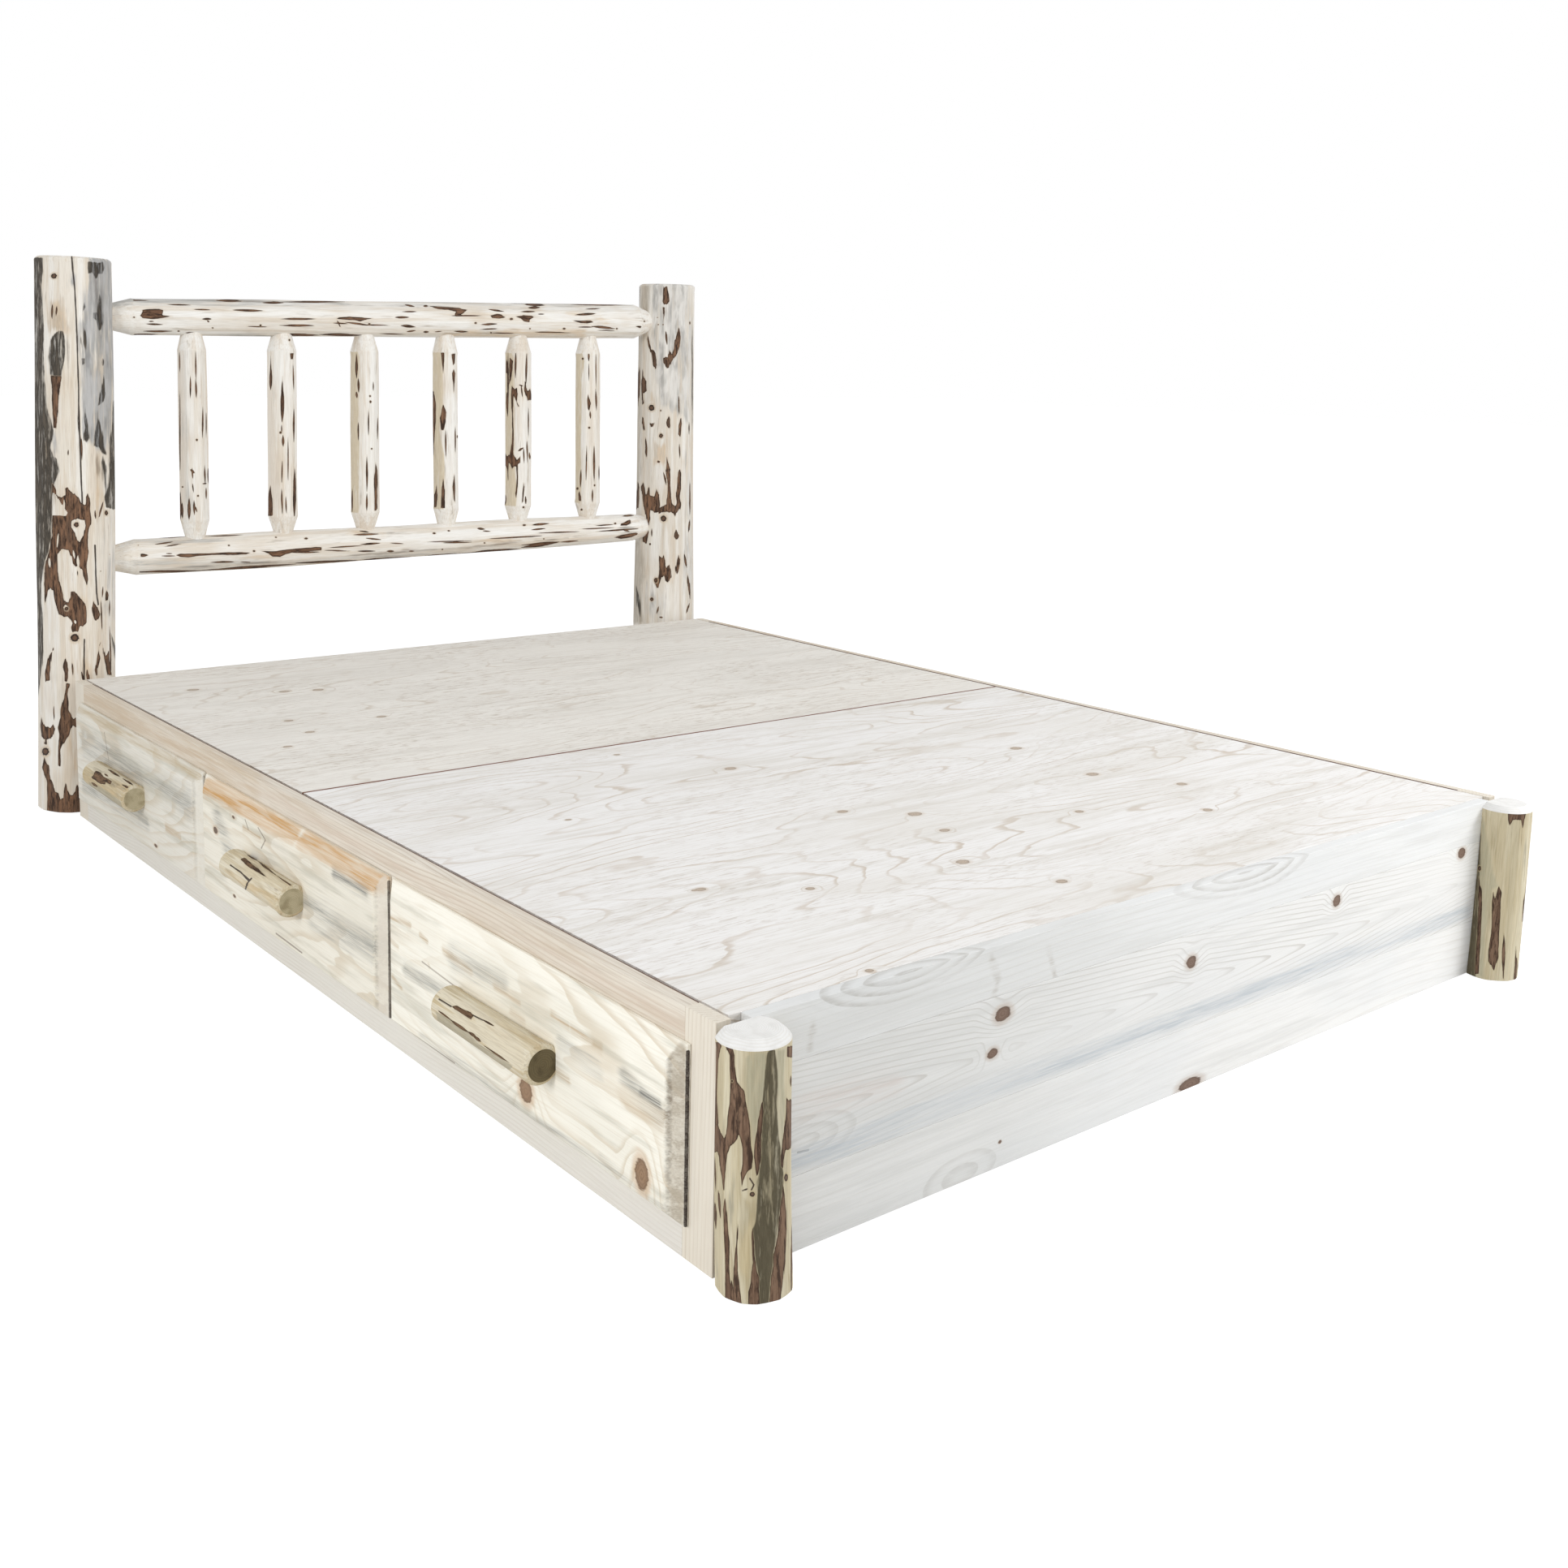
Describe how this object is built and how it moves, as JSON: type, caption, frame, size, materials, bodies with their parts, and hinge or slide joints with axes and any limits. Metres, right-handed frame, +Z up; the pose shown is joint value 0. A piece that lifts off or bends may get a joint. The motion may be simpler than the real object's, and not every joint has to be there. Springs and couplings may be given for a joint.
{
  "type": "storage platform bed",
  "caption": "Low platform bed with a peeled-log headboard, half-log foot posts, a plywood deck and bevelled storage drawers with log pulls along both long sides.",
  "frame": {"origin": "on the floor, under the middle of the overall box", "axes": "+Z up, +Y from the foot to the headboard, +X to the right of a person lying on the bed"},
  "size_m": [1.6836, 2.3983, 1.1322],
  "materials": {
    "peeled_log": "peeled round pine, whitewashed, with patches of inner bark",
    "pull_log": "peeled branch, clear sealed, darker streaks",
    "drawer_front_pine": "planed pine, pale wash",
    "drawer_box_board": "plain planed pine",
    "runner_hardwood": "planed and waxed",
    "deck_plywood": "sanded softwood plywood, bleached",
    "face_frame_pine": "planed pine, pale wash",
    "foot_board_pine": "planed knotty pine, pale wash",
    "carcass_lumber": "plain softwood",
    "bolt_steel": "zinc plated"
  },
  "bodies": {
    "frame": {"centre_spine": "carcass_lumber", "cross_partition_1": "carcass_lumber", "cross_partition_2": "carcass_lumber", "deck_cleat_left": "carcass_lumber", "deck_cleat_right": "carcass_lumber", "deck_panel_foot": "deck_plywood", "deck_panel_head": "deck_plywood", "deck_seam_bearer": "carcass_lumber", "drawer_runners_left": "runner_hardwood", "drawer_runners_right": "runner_hardwood", "foot_cross_member": "carcass_lumber", "foot_plank_lower": "foot_board_pine", "foot_plank_middle": "foot_board_pine", "foot_plank_upper": "foot_board_pine", "foot_post_left": "peeled_log", "foot_post_right": "peeled_log", "head_cross_member": "carcass_lumber", "head_post_left": "peeled_log", "head_post_right": "peeled_log", "head_rail_lower": "peeled_log", "head_rail_upper": "peeled_log", "headboard_bolts": "bolt_steel", "headboard_tie_board": "carcass_lumber", "side_divider_left_1": "face_frame_pine", "side_divider_left_2": "face_frame_pine", "side_divider_right_1": "face_frame_pine", "side_divider_right_2": "face_frame_pine", "side_rail_bottom_left": "face_frame_pine", "side_rail_bottom_right": "face_frame_pine", "side_rail_top_left": "face_frame_pine", "side_rail_top_right": "face_frame_pine", "side_stile_foot_left": "face_frame_pine", "side_stile_foot_right": "face_frame_pine", "side_stile_head_left": "face_frame_pine", "side_stile_head_right": "face_frame_pine", "spindle_1": "peeled_log", "spindle_2": "peeled_log", "spindle_3": "peeled_log", "spindle_4": "peeled_log", "spindle_5": "peeled_log", "spindle_6": "peeled_log"},
    "drawer_left_1": {"drawer_front_left_1": "drawer_front_pine", "drawer_box_left_1": "drawer_box_board", "drawer_pull_left_1": "pull_log"},
    "drawer_left_2": {"drawer_front_left_2": "drawer_front_pine", "drawer_box_left_2": "drawer_box_board", "drawer_pull_left_2": "pull_log"},
    "drawer_left_3": {"drawer_front_left_3": "drawer_front_pine", "drawer_box_left_3": "drawer_box_board", "drawer_pull_left_3": "pull_log"},
    "drawer_right_1": {"drawer_front_right_1": "drawer_front_pine", "drawer_box_right_1": "drawer_box_board", "drawer_pull_right_1": "pull_log"},
    "drawer_right_2": {"drawer_front_right_2": "drawer_front_pine", "drawer_box_right_2": "drawer_box_board", "drawer_pull_right_2": "pull_log"},
    "drawer_right_3": {"drawer_front_right_3": "drawer_front_pine", "drawer_box_right_3": "drawer_box_board", "drawer_pull_right_3": "pull_log"}
  },
  "joints": [
    {"name": "drawer_left_1_slide", "type": "slide", "parent": "frame", "child": "drawer_left_1", "axis": [-1, 0, 0], "range_m": [0, 0.43]},
    {"name": "drawer_left_2_slide", "type": "slide", "parent": "frame", "child": "drawer_left_2", "axis": [-1, 0, 0], "range_m": [0, 0.43]},
    {"name": "drawer_left_3_slide", "type": "slide", "parent": "frame", "child": "drawer_left_3", "axis": [-1, 0, 0], "range_m": [0, 0.43]},
    {"name": "drawer_right_1_slide", "type": "slide", "parent": "frame", "child": "drawer_right_1", "axis": [1, 0, 0], "range_m": [0, 0.43]},
    {"name": "drawer_right_2_slide", "type": "slide", "parent": "frame", "child": "drawer_right_2", "axis": [1, 0, 0], "range_m": [0, 0.43]},
    {"name": "drawer_right_3_slide", "type": "slide", "parent": "frame", "child": "drawer_right_3", "axis": [1, 0, 0], "range_m": [0, 0.43]}
  ]
}
